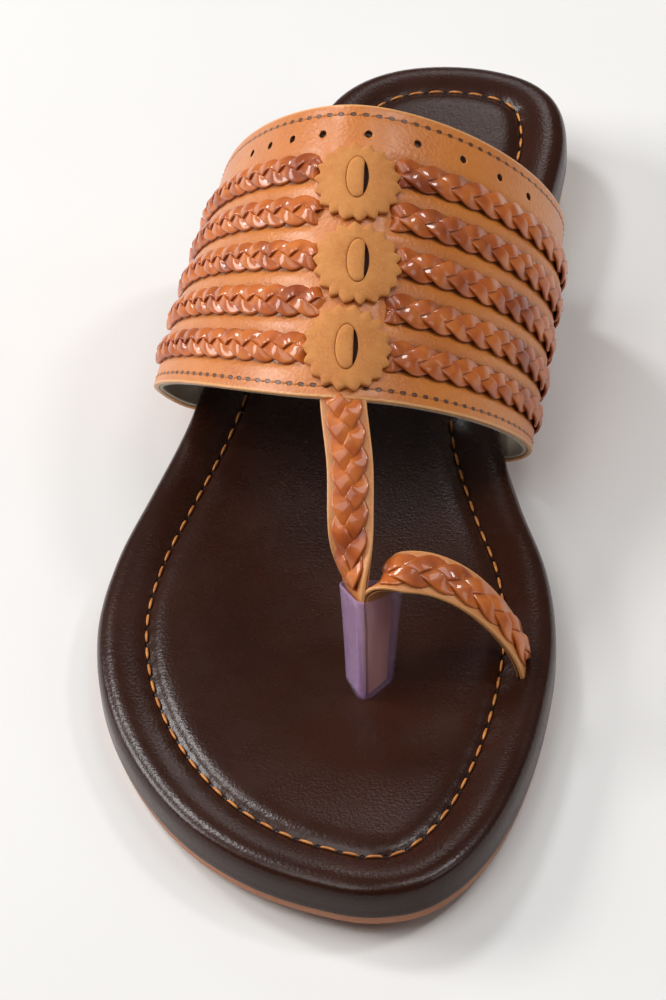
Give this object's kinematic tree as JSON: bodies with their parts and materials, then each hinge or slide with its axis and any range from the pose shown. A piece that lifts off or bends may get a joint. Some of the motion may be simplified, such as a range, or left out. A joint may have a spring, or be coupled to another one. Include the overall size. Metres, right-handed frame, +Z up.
{
  "type": "kolhapuri sandal",
  "caption": "Flat braided leather slide for the right foot with a wide instep band, a centre strap and a looped toe ring on a padded footbed.",
  "frame": {"origin": "centre of the sandal's footprint box, on the floor it stands on", "axes": "-Y towards the toe, +Y towards the heel, +X towards the big-toe (medial) side, +Z up"},
  "size_m": [0.0948, 0.2472, 0.079],
  "materials": {
    "outsole": "matt reddish tan sole rubber",
    "heel_stack": "yellowish tan stacked heel, satin",
    "footbed": "dark brown smooth coated leather, semi-gloss, orange thread",
    "tan_leather": "orange tan grain leather, soft gloss",
    "braid_leather": "glossy reddish brown plaited leather",
    "rosette_leather": "golden tan nubuck leather, matt",
    "lining": "grey cream lining, matt",
    "thread": "orange tan twisted thread",
    "clear_film": "clear film with a lilac tint, glossy"
  },
  "bodies": {
    "root": {"outsole": "outsole", "heel": "heel_stack", "footbed": "footbed", "upper": "tan_leather", "post_sleeve": "clear_film", "braid_lateral_1": "braid_leather", "braid_lateral_2": "braid_leather", "braid_lateral_3": "braid_leather", "braid_lateral_4": "braid_leather", "braid_lateral_5": "braid_leather", "braid_medial_1": "braid_leather", "braid_medial_2": "braid_leather", "braid_medial_3": "braid_leather", "braid_medial_4": "braid_leather", "braid_medial_5": "braid_leather", "braid_centre_strap": "braid_leather", "braid_toe_ring": "braid_leather", "rosette_front": "rosette_leather", "rosette_middle": "rosette_leather", "rosette_rear": "rosette_leather", "rosette_tab_front": "rosette_leather", "rosette_tab_middle": "rosette_leather", "rosette_tab_rear": "rosette_leather"}
  },
  "joints": []
}
